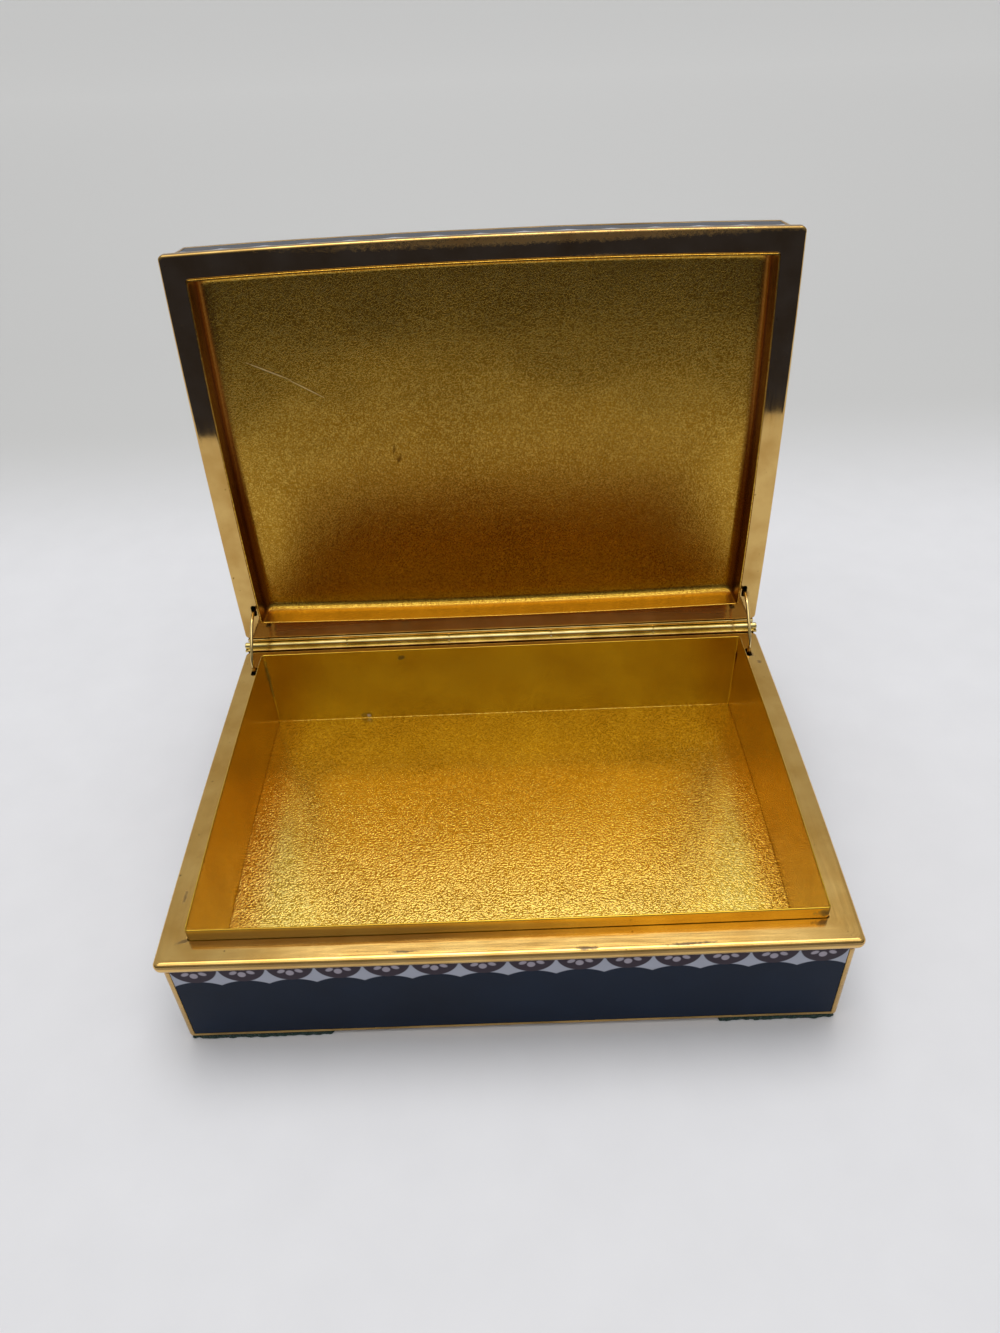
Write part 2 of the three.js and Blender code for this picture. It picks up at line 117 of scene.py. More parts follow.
def start_material(name, color, roughness, metallic):
    """A new material whose Principled shader has the real finish's plain values."""
    made = bpy.data.materials.new(name)
    made.use_nodes = True
    shader = made.node_tree.nodes["Principled BSDF"]
    shader.inputs["Base Color"].default_value = linear(color)
    shader.inputs["Roughness"].default_value = roughness
    shader.inputs["Metallic"].default_value = metallic
    return made.node_tree, shader, made


def dress(tree, shader, **sockets):
    """Links the last nodes of a recipe to the shader: Base_Color=tone, Normal=dents, and so on."""
    for name, node in sockets.items():
        tree.links.new(node.outputs[0], shader.inputs[name.replace("_", " ")])


# %% [markdown]
# ## Table and light
# The box stood on a pale table that curved up behind it, under soft light from above. Polished brass has
# hardly a colour of its own: it shows its surroundings in gold. So the surroundings matter as much as the
# brass. The table ends a hand's breadth in front of the box, and what is beyond it is dark. A dark card
# that only reflections see stands for that, so the table stays plain from every side.

# %% The table
TABLE_SIZE = 16.0
TABLE_EDGE = -0.232
TABLE_SHADE = {"From Min": 0.14, "From Max": 0.30}
TABLE_FAR = {"From Min": 0.4, "From Max": 1.4}

table = bpy.data.objects.new("table", bpy.data.meshes.new("table"))
half = TABLE_SIZE / 2
table.data.from_pydata(
    [(-half, -half, 0), (half, -half, 0), (half, half, 0), (-half, half, 0)], [], [(0, 1, 2, 3)]
)
bpy.context.scene.collection.objects.link(table)
tree, shader, paint = start_material("matt_table_paint", "#dcdcde", 0.6, 0.0)
place = add(tree, "TexCoord").outputs["Object"]
cloudy = add(tree, "TexNoise", {"Vector": place, "Scale": 60.0, "Detail": 4.0})
clean = add(tree, "MixRGB", {"Fac": cloudy, "Color1": "#dfdfe2", "Color2": "#e6e6e9"})
away = add(tree, "SeparateXYZ", {"Vector": place}).outputs["Y"]
# Behind the box the table's colour turns darker: painted shade for the fall of light where the real table
# curved up. Further off it turns lighter again.
rise = add(tree, "MapRange", {"Value": away, **TABLE_SHADE}, **SOFT)
shaded = add(tree, "MixRGB", {"Fac": rise, "Color1": clean, "Color2": "#c6c6c5"})
far_off = add(tree, "MapRange", {"Value": away, **TABLE_FAR})
shaded = add(tree, "MixRGB", {"Fac": far_off, "Color1": shaded, "Color2": "#dbdbda"})
dress(tree, shader, Base_Color=shaded)
table.data.materials.append(paint)

card = bpy.data.objects.new("dark_card", bpy.data.meshes.new("dark_card"))
card.data.from_pydata(
    [(-half, -half, MM), (half, -half, MM), (half, TABLE_EDGE, MM), (-half, TABLE_EDGE, MM)],
    [],
    [(0, 1, 2, 3)],
)
bpy.context.scene.collection.objects.link(card)
tree, shader, black = start_material("dark_card", "#363a58", 1.0, 0.0)
shader.inputs["Specular IOR Level"].default_value = 0.0
card.data.materials.append(black)
card.visible_camera = False
card.visible_diffuse = False
card.visible_shadow = False
print("table is", TABLE_SIZE, "m wide")

# %% [markdown]
# A small softbox gives the soft shadow. All other light comes from the surroundings, whose brightness
# depends on the direction: X to the right, Y to the back and Z up, each from -1 to 1. High behind the box
# is a bright panel of ceiling, which the rims mirror. Above a set height the front is bright too, which the
# lid's tray throws on to the floor. Round the zenith it is brightest. Below, the front is a dim room.

# %% The lights
SOFTBOX_SIZE = 0.6
SOFTBOX_PLACE = (0.02, 0.26, 1.0)
SOFTBOX_WATTS = 2.4

softbox = bpy.data.objects.new("softbox", bpy.data.lights.new("softbox", "AREA"))
softbox.data.shape = "SQUARE"
softbox.data.size = SOFTBOX_SIZE
softbox.data.energy = SOFTBOX_WATTS
softbox.location = SOFTBOX_PLACE
bpy.context.scene.collection.objects.link(softbox)

PANEL_MIDDLE = 0.02
PANEL_HALF_WIDTH = {"From Min": 0.235, "From Max": 0.30}
PANEL_FAR_EDGE = {"From Min": 0.56, "From Max": 0.63}
TO_THE_BACK = {"From Min": -0.2, "From Max": 0.1}
DIM_FRONT = {"From Min": 0.25, "From Max": 0.5, "To Min": 0.1, "To Max": 0.32}
BACK_GLOW = (0.42, 0.42, 0.42, 1)
HIGH_FRONT = {"From Min": 0.745, "From Max": 0.78}
HIGH_GLOW = {"To Min": 1.7, "To Max": 0.9}
ZENITH = {"From Min": 0.845, "From Max": 0.90}
ZENITH_GLOW = {"From Min": -0.3, "From Max": 0.3, "To Min": 1.0, "To Max": 2.4}

world = bpy.data.worlds.new("soft_room")
bpy.context.scene.world = world
world.use_nodes = True
tree = world.node_tree
way = add(tree, "SeparateXYZ", {"Vector": add(tree, "TexCoord").outputs["Generated"]})
beside = add(tree, "Math", {0: way.outputs["X"], 1: PANEL_MIDDLE}, operation="SUBTRACT")
beside = add(tree, "Math", {0: beside}, operation="ABSOLUTE")
narrow = add(tree, "MapRange", {0: beside, **PANEL_HALF_WIDTH, **FALLING}, **SOFT)
low = add(tree, "MapRange", {0: way.outputs["Y"], **PANEL_FAR_EDGE, **FALLING}, **SOFT)
back = add(tree, "MapRange", {0: way.outputs["Y"], **TO_THE_BACK}, **SOFT)
panel = add(tree, "Math", {0: narrow, 1: low}, operation="MULTIPLY")
panel = add(tree, "Math", {0: panel, 1: back}, operation="MULTIPLY")
dim = add(tree, "MapRange", {0: way.outputs["Z"], **DIM_FRONT}, **SOFT)
room = add(tree, "MixRGB", {"Fac": back, "Color1": dim, "Color2": BACK_GLOW})
high = add(tree, "MapRange", {0: way.outputs["Z"], **HIGH_FRONT}, **SOFT)
high = add(tree, "Math", {0: high, 1: back}, operation="SUBTRACT", use_clamp=True)
lit = add(tree, "Math", {0: panel, 1: high}, operation="MAXIMUM")
bright = add(tree, "MapRange", {0: way.outputs["Y"], **TO_THE_BACK, **HIGH_GLOW})
glow = add(tree, "MixRGB", {"Fac": lit, "Color1": room, "Color2": bright})
rear = add(tree, "MapRange", {0: way.outputs["Y"], **ZENITH_GLOW}, **SOFT)
above = add(tree, "MapRange", {0: way.outputs["Z"], **ZENITH}, **SOFT)
glow = add(tree, "MixRGB", {"Fac": above, "Color1": glow, "Color2": rear})
tree.links.new(glow.outputs[0], tree.nodes["Background"].inputs["Color"])
print("softbox of", SOFTBOX_WATTS, "W,", SOFTBOX_SIZE, "m square")

# %% [markdown]
# ## Shapes from outlines
# Almost every part of the box is a profile carried round a rounded rectangle, because the real parts
# were folded, drawn or rolled from sheet round such an outline. The long sides of the real box are not
# quite straight: each bows out by a parabola. A quarter circle rounds each corner.

# %% Outlines and profiles
BOX_WIDTH = 165.0
BOX_DEPTH = 118.5
RIM_HEIGHT = 32.7
SHIFT_Y = -12.096
RIM_CORNER = 1.4


def outline(half_x, half_y, radius, side, front, back, long=40, short=30, corner=8):
    """Points counterclockwise: a side's point at t, from -1 to 1, stands out by swell * (1 - t²)."""
    flat_x, flat_y = half_x - radius, half_y - radius
    parts = []
    for turn, (sx, sy) in enumerate(((1, -1), (1, 1), (-1, 1), (-1, -1))):
        angle = np.pi / 2 * (turn - 1 + np.linspace(0, 1, corner + 1))
        x, y = sx * flat_x + radius * np.cos(angle), sy * flat_y + radius * np.sin(angle)
        parts.append(np.stack([x, y], 1))
        t = np.linspace(-1, 1, (long if turn % 2 else short) + 1)[1:-1]
        out = 1 - t**2
        parts.append(
            np.stack(
                (
                    (half_x + side * out, t * flat_y),
                    (-t * flat_x, half_y + back * out),
                    (-half_x - side * out, -t * flat_y),
                    (t * flat_x, -half_y - front * out),
                )[turn],
                1,
            )
        )
    return np.concatenate(parts)


def base_plan(inset, radius=RIM_CORNER):
    """The base's outline, inset from the rim's edge. The hinge edge is straight."""
    return outline(BOX_WIDTH / 2 - inset, BOX_DEPTH / 2 - inset, radius, side=0.5, front=0.3, back=0)


def lid_plan(inset, radius=RIM_CORNER):
    """The lid's outline. Its swell is larger, and the tray alone swells towards the hinge."""
    back = 0.9 * min(1, max(0, inset / 6.0)) ** 4
    return outline(BOX_WIDTH / 2 - inset, BOX_DEPTH / 2 - inset, radius, side=0.7, front=1.3, back=back)


def quarter(start, end, corner, steps=6):
    """Points of a quarter round: corner + (start - corner)(1 - sin a) + (end - corner)(1 - cos a)."""
    angle = np.linspace(0, np.pi / 2, steps + 1)[:, None]
    start, end, corner = (np.array(p, float) for p in (start, end, corner))
    return corner + (start - corner) * (1 - np.sin(angle)) + (end - corner) * (1 - np.cos(angle))


def carried(plan, profile):
    """The grid of points of a profile of [inset, height, corner radius] carried round an outline."""
    return np.stack([np.column_stack([plan(i, r), np.full(len(plan(i, r)), z)]) for i, z, r in profile])


def grid_faces(rows, columns, close_rows=False):
    """Four-sided faces between neighbouring points of a grid whose columns close on themselves."""
    i = np.arange(rows if close_rows else rows - 1)[:, None]
    j = np.arange(columns)[None, :]
    a = i * columns + j
    b = i * columns + (j + 1) % columns
    up = ((i + 1) % rows - i) * columns
    return np.stack([a, b, b + up, a + up], -1).reshape(-1, 4)


def grid_uv(points, close_rows=False):
    """Distances in millimetres along the first row and up the columns' mean, at each face's corners."""
    first = np.concatenate([points[0], points[0][:1]])
    u = np.concatenate([[0], np.cumsum(np.linalg.norm(np.diff(first, axis=0), axis=1))])
    rows = np.concatenate([points, points[:1]]) if close_rows else points
    v = np.concatenate([[0], np.cumsum(np.linalg.norm(np.diff(rows, axis=0), axis=2).min(axis=1))])
    low_u, high_u = np.broadcast_arrays(u[None, :-1], u[None, 1:])
    low_v, high_v = v[:-1, None], v[1:, None]
    shape = (len(v) - 1, len(u) - 1)
    corners = ((low_u, low_v), (high_u, low_v), (high_u, high_v), (low_u, high_v))
    return np.stack(
        [np.stack([np.broadcast_to(p, shape), np.broadcast_to(q, shape)], -1) for p, q in corners], 2
    ).reshape(-1, 4, 2)


# %% [markdown]
# A surface made with numpy goes into a mesh as whole arrays. Faces that meet at more than a set angle
# keep a sharp edge between them, and all others shade as one curved surface. The millimetre values
# of a part's own map follow its surface, so brushing runs along a rim and turns with it at a corner.


# %% Put surfaces into meshes
def put_mesh(name, parts, sharp=35.0, turn=None):
    """One object from [points in mm, faces, uv or None] parts; turn is a 4 by 4 matrix for points in mm."""
    points, loops, sizes, uvs, offset = [], [], [], [], 0
    for p, faces, uv in parts:
        p = np.asarray(p, float).reshape(-1, 3)
        for k, group in enumerate(faces if isinstance(faces, list) else [faces]):
            loops.append(group.ravel() + offset)
            sizes.append(np.full(len(group), group.shape[1]))
            flat = p[group][..., :2].reshape(-1, 2) if uv is None or k > 0 else uv.reshape(-1, 2)
            uvs.append(flat)
        points.append(p)
        offset += len(p)
    points = np.concatenate(points)
    if turn is not None:
        points = points @ turn[:3, :3].T + turn[:3, 3]
    loops, sizes = np.concatenate(loops), np.concatenate(sizes)
    mesh = bpy.data.meshes.new(name)
    mesh.vertices.add(len(points))
    mesh.vertices.foreach_set("co", (points * MM).ravel())
    mesh.loops.add(len(loops))
    mesh.loops.foreach_set("vertex_index", loops)
    mesh.polygons.add(len(sizes))
    mesh.polygons.foreach_set("loop_start", np.concatenate([[0], np.cumsum(sizes)[:-1]]))
    mesh.update(calc_edges=True)
    mesh.uv_layers.new(name="mm").data.foreach_set("uv", np.concatenate(uvs).ravel())
    mesh.validate()
    mesh.polygons.foreach_set("use_smooth", np.ones(len(mesh.polygons), bool))
    mesh.set_sharp_from_angle(angle=math.radians(sharp))
    made = bpy.data.objects.new(name, mesh)
    bpy.context.scene.collection.objects.link(made)
    return made


def settle(piece, body, slot, material, *nodes):
    """The piece rides on its body, stands for its nodes and takes its finish."""
    piece.data.materials.append(material)
    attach(piece, body)
    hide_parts(*nodes)
    print(piece.name, len(piece.data.polygons), "faces for", ", ".join(nodes))
    return piece


def ring_part(plan, profile):
    """A closed ring: the profile's last row joins its first."""
    points = carried(plan, profile)
    return [points, grid_faces(*points.shape[:2], close_rows=True), grid_uv(points, close_rows=True)]


def filled_part(plan, profile):
    """A closed body: the first row is filled from below and the last from above."""
    points = carried(plan, profile)
    rows, columns = points.shape[:2]
    under = np.arange(columns)[None, ::-1]
    over = (rows - 1) * columns + np.arange(columns)[None, :]
    return [points, [grid_faces(rows, columns), under, over], grid_uv(points)]


# %% [markdown]
# ## The hinge frame of the lid
# The lid's parts are worked out as if it were shut and lay upside up, with its rim's face at height 0.
# One matrix then swings them open about the hinge axis, so that each mesh holds its real place.

# %% The matrices of base and lid
AXIS = (0.0, 61.55, 33.2)
OPENING = 92.5

lid_open = np.array(
    Matrix.Translation((0, SHIFT_Y, 0))
    @ Matrix.Translation(AXIS)
    @ Matrix.Rotation(math.radians(-OPENING), 4, "X")
    @ Matrix.Translation((0, -AXIS[1], 0.5))
)
print("hinge axis at", AXIS[1] + SHIFT_Y, AXIS[2], "mm")

# %% [markdown]
# ## Gilt brass
# The rims, strips and hinge are brass sheet, rolled, polished along their length and gilt. Such a surface
# is close to a mirror, with fine streaks along the polishing, faint waves where the sheet was pressed, and
# brown specks where the gilding has worn. Metals keep Blender's default IOR. The roughness runs from
# 0.05 on the lid's mirror rim to 0.28 on the strips. Soil lies on the metal as thin layers, and so do
# painted light and shade: a painted dark reflection along the front edge of the base's rim, darker bands
# on the lid's rim that are in part painted dark reflection and shade, and a painted paler band on the
# lid's rim by the hinge. Where such a layer lies the metallic value is lower.


# %% Parts of a metal recipe
def along(tree, length, width, detail=3.0):
    """Noise stretched along the part's own map: 'length' and 'width' of a streak in millimetres."""
    own = add(tree, "UVMap", uv_map="mm")
    drawn = add(tree, "Mapping", {"Vector": own, "Scale": (1 / length, 1 / width, 1)})
    return add(tree, "TexNoise", {"Vector": drawn, "Scale": 1.0, "Detail": detail})


def blotch(tree, size, low, high, detail=3.0):
    """Cloudy noise of the given size in millimetres, cut so that it is 0 below low and 1 above high."""
    place = add(tree, "TexCoord").outputs["Object"]
    noise = add(tree, "TexNoise", {"Vector": place, "Scale": 1 / (size * MM), "Detail": detail})
    return add(tree, "MapRange", {"Value": noise, "From Min": low, "From Max": high})


def marks(tree, place, unit, spots, ragged=1.6):
    """A mask of marks: each (middle, half widths, turn in degrees). The unit is 1 mm of 'place'."""
    rough = add(tree, "TexNoise", {"Vector": place, "Scale": 1 / (0.9 * unit), "Detail": 3.0})
    total = None
    for middle, half_widths, turned in spots:
        box = {
            "Vector": place,
            "Location": [c * unit for c in middle],
            "Rotation": (0, 0, math.radians(turned)),
            "Scale": [h * unit for h in half_widths],
        }
        local = add(tree, "Mapping", box, vector_type="TEXTURE")
        far = add(tree, "VectorMath", {0: local}, operation="LENGTH").outputs["Value"]
        far = add(tree, "Math", {0: rough, 1: ragged, 2: far}, operation="MULTIPLY_ADD")
        start = 0.5 + ragged / 2
        mask = add(tree, "MapRange", {"Value": far, "From Min": start, "From Max": start + 0.7, **FALLING})
        total = mask if total is None else add(tree, "Math", {0: total, 1: mask}, operation="MAXIMUM")
    return total


def lay_soil_and_painted_light(tree, shader, tone, soil_and_painted_light):
    """Lays layers of soil, painted light and painted shade over brass: each (spots, colour, thickness,
    ragged edge) hides its share of the metal.
    """
    place = add(tree, "TexCoord").outputs["Object"]
    metal = 1.0
    for spots, color, thick, ragged in soil_and_painted_light:
        soil_and_light_cover = marks(tree, place, MM, spots, ragged)
        soil_and_light_cover = add(tree, "Math", {0: soil_and_light_cover, 1: thick}, operation="MULTIPLY")
        tone = add(tree, "MixRGB", {"Fac": soil_and_light_cover, "Color1": tone, "Color2": color})
        metal = add(tree, "Math", {0: metal, 1: soil_and_light_cover}, operation="SUBTRACT", use_clamp=True)
    if soil_and_painted_light:
        dress(tree, shader, Metallic=metal)
    return tone


def gilt_brass(name, color, worn, roughness, soil_and_painted_light=(), streak=0.003, wave=0.02):
    """Polished gilt brass: streaks along the part, waves of the sheet, worn specks, and layers of soil and
    of painted light and shade.
    """
    tree, shader, made = start_material(name, color, roughness, 1.0)
    streaks = along(tree, 30.0, 0.35)
    soft = along(tree, 12.0, 1.6, detail=1.0)
    tone = add(tree, "MixRGB", {"Fac": blotch(tree, 9.0, 0.35, 0.7), "Color1": color, "Color2": worn})
    tone = add(tree, "MixRGB", {"Fac": blotch(tree, 1.1, 0.70, 0.78), "Color1": tone, "Color2": "#8a6a30"})
    tone = lay_soil_and_painted_light(tree, shader, tone, soil_and_painted_light)
    limits = {"From Min": 0.3, "From Max": 0.7, "To Min": roughness * 0.7, "To Max": roughness * 1.5}
    rough = add(tree, "MapRange", {"Value": streaks, **limits})
    waves = add(tree, "Bump", {"Height": soft, "Distance": wave * MM})
    fine = add(tree, "Bump", {"Height": streaks, "Distance": streak * MM, "Normal": waves})
    dress(tree, shader, Base_Color=tone, Roughness=rough, Normal=fine)
    return made


# %% The brass finishes
RIM_MARKS = [
    ((18.6, -70.4, 32.7), (2.8, 0.45, 2), 0),
    ((-23.7, -69.6, 32.7), (3.0, 0.3, 2), 0),
    ((42.0, -70.2, 32.7), (6.0, 0.4, 2), 2),
    ((-76.2, -64.6, 32.7), (1.9, 0.6, 2), 20),
    ((-75.6, -59.0, 32.7), (0.5, 2.2, 2), 0),
    ((-79.0, -51.5, 32.7), (0.5, 2.2, 2), 0),
    ((78.4, 35.6, 32.7), (0.8, 1.6, 3), 30),
    ((80.2, 31.5, 32.7), (0.7, 1.0, 3), 0),
]
# A dark line along the front edge of the base's rim: a painted dark reflection of the shaded table in front
# of the box.
PAINTED_DARK_EDGE_REFLECTION = [((0.0, -71.5, 31.75), (300.0, 0.4, 0.5), 0)]
# These darken the lid's rim: the long band along its top is a painted dark reflection, the spot below the
# right slot is painted shade beside the stay wire, and the two short bands are only darker.
LID_RIM_DARKENING = [
    ((20.0, 55.0, 153.8), (60.0, 5.0, 1.2), 0),
    ((30.0, 54.8, 148.6), (9.0, 5.0, 0.9), 0),
    ((-20.0, 54.8, 147.4), (12.0, 5.0, 0.7), 0),
    ((78.6, 50.0, 45.0), (0.9, 3.0, 1.6), 0),
]
# A paler, less metallic band on the lid's rim by the hinge: painted light, which makes the rim there look
# less red.
PAINTED_PALE_BAND_BY_HINGE = [((0.0, 50.0, 37.0), (110.0, 8.0, 5.0), 0)]
RIM_SOIL_AND_DARK_REFLECTION = [(RIM_MARKS, "#5e4722", 0.85, 1.6), (PAINTED_DARK_EDGE_REFLECTION, "#5e4722", 0.6, 0)]
LID_RIM_DARKENING_AND_PALE_BAND = [(LID_RIM_DARKENING, "#6e3420", 0.32, 1.6), (PAINTED_PALE_BAND_BY_HINGE, "#dca846", 0.35, 0)]
rim_brass = gilt_brass("polished_gilt_brass", "#edc373", "#dcad5c", 0.13, RIM_SOIL_AND_DARK_REFLECTION)
case_brass = gilt_brass("gilt_brass_strip", "#d2ab68", "#a98850", 0.28)
lid_brass = gilt_brass("gilt_brass_lid_rim", "#dcb66e", "#c49a54", 0.05, LID_RIM_DARKENING_AND_PALE_BAND, 0.001, 0.008)
barrel_brass = gilt_brass("pale_hinge_brass", "#ead694", "#c8ae64", 0.14)
wire_brass = gilt_brass("gilt_stay_wire", "#edcf8c", "#cdb068", 0.15)
print("brass finishes:", [m.name for m in bpy.data.materials if "brass" in m.name])

# %% [markdown]
# ## The rims
# A flat plate with a moulded edge was soldered on each half of the box. Under its front edge the metal
# rolls back to the case in a quarter round. Close rows of points beside each round keep the flat faces
# flat when the surface is shaded smoothly. Two slots let the stays slide through; they are cut at the end.

# %% Rim profiles and slots
PLATE_RISE = 0.8
BASE_RIM = {
    "overhang": 1.2,
    "edge": 4.4 - PLATE_RISE,
    "round_back": 2.2,
    "inner": 6.8,
    "inner_corner": 0.8,
    "top_round": 1.1,
}
LID_RIM = {
    "overhang": 1.0,
    "edge": 3.2,
    "round_back": 1.4,
    "inner": 6.0,
    "inner_corner": 0.9,
    "top_round": 0.6,
}
STAY_RADIUS = 13.0
SLOT_X = BOX_WIDTH / 2 - 4.6
SLOT_Y = AXIS[1] - STAY_RADIUS
SLOT_HALF = (0.85, 2.0)


def rim_profile(overhang, edge, round_back, inner, inner_corner, top_round, plate=1.2, hold=0.06):
    """Rows of [inset, height, corner radius] from the case's face up, over the rim's face and back."""
    bottom = quarter((overhang, -edge), (0, round_back - edge), (0, -edge), 8)
    top = quarter((0, -top_round), (top_round, 0), (0, 0), 6)
    rows = [(i, z, RIM_CORNER) for i, z in bottom]
    rows += [(0, round_back - edge + hold, RIM_CORNER), (0, -top_round - hold, RIM_CORNER)]
    rows += [(i, z, RIM_CORNER) for i, z in top]
    rows += [(top_round + hold, 0, RIM_CORNER)]
    rows += [(inner - 0.2, 0, inner_corner), (inner - 0.08, 0, inner_corner)]
    rows += [(i, z, inner_corner) for i, z in quarter((inner - 0.08, 0), (inner, -0.08), (inner, 0), 2)]
    back = overhang + 1.5
    rows += [(inner, -plate, inner_corner), (back, -plate, RIM_CORNER), (back, -edge, RIM_CORNER)]
    return rows


def with_slots(rim, faces_up):
    """Cuts a slot with round ends through each side of the rim and keeps the result as the rim's mesh."""
    loop = outline(*SLOT_HALF, 0.8, 0, 0, 0, long=2, short=4, corner=6)
    n = len(loop)
    caps = [np.arange(n)[None, ::-1], n + np.arange(n)[None, :]]
    for sx in (-1, 1):
        placed = loop + (sx * SLOT_X, SLOT_Y)
        points = np.stack([np.column_stack([placed, np.full(n, z)]) for z in (-4.0, 4.0)])
        cutter = put_mesh("slot_cutter", [[points, [grid_faces(2, n), *caps], None]], turn=faces_up)
        cut = rim.modifiers.new("slot", "BOOLEAN")
        cut.operation, cut.object, cut.solver = "DIFFERENCE", cutter, "EXACT"
        bpy.context.view_layer.update()
        done = bpy.data.meshes.new_from_object(rim.evaluated_get(bpy.context.evaluated_depsgraph_get()))
        rim.modifiers.clear()
        rim.data = done
        bpy.data.objects.remove(cutter)
    rim.data.set_sharp_from_angle(angle=math.radians(35))
    return rim


base_up = np.array(Matrix.Translation((0, SHIFT_Y, RIM_HEIGHT)))
rim = put_mesh("rim_of_base", [ring_part(base_plan, rim_profile(**BASE_RIM))], turn=base_up)
settle(with_slots(rim, base_up), "base", "gilt_brass", rim_brass, "base_rim")

turned_over = np.array(Matrix.Rotation(math.pi, 4, "Y"))
lid_face_down = lid_open @ turned_over
rim = put_mesh("rim_of_lid", [ring_part(lid_plan, rim_profile(**LID_RIM))], turn=lid_face_down)
settle(with_slots(rim, lid_face_down), "lid", "gilt_brass", lid_brass, "lid_rim")

# %% [markdown]
# ## The linings
# The base's lining is a folded band of thin brass that stands above the rim as a lip, so the lid closes
# over it. Its corners are open at the top and tight below. The lid's tray was pressed from one sheet:
# its walls turn into the panel with a soft fold. The floor and the panel have a fine grain, pressed
# into the sheet with an etched roll, that looks like short worms of light. Pressed sheet is satin rather
# than polished, so its roughness is near 0.2.


# %% Finishes of the linings
GRAIN = 0.7
LID_SCRATCHES = [
    ((-61.0, -25.6, 0), (6.0, 0.16, 9), 25),
    ((-51.3, -20.2, 0), (5.6, 0.13, 9), 31),
]
LID_STAINS = [
    ((-27.4, 2.2, 0), (0.6, 1.7, 9), 22),
    ((-28.6, -0.9, 0), (0.35, 2.0, 9), 12),
]
WALL_STAINS = [
    ((-75.0, 39.9, 26.0), (0.75, 1.2, 9.0), 0),
    ((-31.5, 39.9, 33.4), (1.2, 1.0, 0.8), 0),
    ((-45.4, 39.9, 10.3), (2.2, 1.2, 1.1), 0),
    ((75.4, -64.6, 34.6), (3.4, 0.9, 1.5), 0),
]
SOLDER = [((-44.6, 39.7, 10.0), (0.8, 1.0, 0.7), 0)]
# LIP_SHADE darkens the left part of the lip's outer face: painted shade.
LIP_SHADE = [((-55.0, -64.65, 34.0), (78.0, 0.6, 2.5), 0)]


def grained_brass(name, color, deep, light, roughness, depth, side_wall_shade=None, scratches=(), stains=()):
    """Satin brass with pressed grain: narrow worms where noise of the grain's size is near its middle."""
    tree, shader, made = start_material(name, color, roughness, 1.0)
    place = add(tree, "TexCoord")
    cloud = {"Vector": place.outputs["Object"], "Scale": 1 / (GRAIN * MM), "Detail": 1.0, "Distortion": 0.6}
    aside = add(tree, "Math", {0: add(tree, "TexNoise", cloud), 1: 0.5}, operation="SUBTRACT")
    aside = add(tree, "Math", {0: aside}, operation="ABSOLUTE")
    worms = add(tree, "MapRange", {"Value": aside, "From Min": 0.01, "From Max": 0.09, **FALLING}, **SOFT)
    tone = add(tree, "MixRGB", {"Fac": blotch(tree, 22.0, 0.3, 0.7), "Color1": deep, "Color2": color})
    tone = add(tree, "MixRGB", {"Fac": worms, "Color1": tone, "Color2": light})
    tone = add(tree, "MixRGB", {"Fac": blotch(tree, 0.9, 0.74, 0.77), "Color1": tone, "Color2": "#6b4a14"})
    # On the tray, faces turned up are painted lighter: painted light. Faces turned sideways, and the folds
    # beside them, are painted dark brown: a painted dark reflection that also hides the folds' highlight.
    if side_wall_shade:
        facing = add(tree, "SeparateXYZ", {"Vector": place.outputs["Normal"]})
        upward_painted_light = add(tree, "MapRange", {"Value": facing.outputs["Z"], "From Min": 0.8, "From Max": 1.0})
        tone = add(tree, "MixRGB", {"Fac": upward_painted_light, "Color1": tone, "Color2": light})
        side_wall_painted_shade = add(tree, "Math", {0: facing.outputs["X"]}, operation="ABSOLUTE")
        side_wall_painted_shade = add(tree, "MapRange", {"Value": side_wall_painted_shade, "From Min": 0.02, "From Max": 0.5, "To Max": 0.9})
        tone = add(tree, "MixRGB", {"Fac": side_wall_painted_shade, "Color1": tone, "Color2": side_wall_shade})
    own = add(tree, "UVMap", uv_map="mm")
    if stains:
        stained = add(tree, "Math", {0: marks(tree, own, 1.0, stains), 1: 0.75}, operation="MULTIPLY")
        tone = add(tree, "MixRGB", {"Fac": stained, "Color1": tone, "Color2": "#7a4c12"})
    if scratches:
        bare = marks(tree, own, 1.0, scratches, ragged=0.9)
        tone = add(tree, "MixRGB", {"Fac": bare, "Color1": tone, "Color2": "#ffe9a8"})
        torn = add(tree, "MapRange", {"Value": bare, "To Min": roughness, "To Max": 0.5})
        dress(tree, shader, Roughness=torn)
    slow = add(tree, "Bump", {"Height": blotch(tree, 30.0, 0.2, 0.8, 1.0), "Distance": 0.2 * MM})
    grain = add(tree, "Bump", {"Height": worms, "Distance": depth * MM, "Normal": slow})
    dress(tree, shader, Base_Color=tone, Normal=grain)
    return made


def satin_brass(name, color, deep, roughness, soil_and_painted_light):
    """Brass sheet rubbed with fine abrasive: faint lines along the band, warm clouds, and layers of soil
    and of painted shade.
    """
    tree, shader, made = start_material(name, color, roughness, 1.0)
    lines = along(tree, 14.0, 0.25)
    tone = add(tree, "MixRGB", {"Fac": blotch(tree, 14.0, 0.3, 0.75), "Color1": color, "Color2": deep})
    tone = lay_soil_and_painted_light(tree, shader, tone, soil_and_painted_light)
    slow = add(tree, "Bump", {"Height": blotch(tree, 12.0, 0.2, 0.8, 1.0), "Distance": 0.05 * MM})
    brushed = add(tree, "Bump", {"Height": lines, "Distance": 0.004 * MM, "Normal": slow})
    dress(tree, shader, Base_Color=tone, Normal=brushed)
    return made


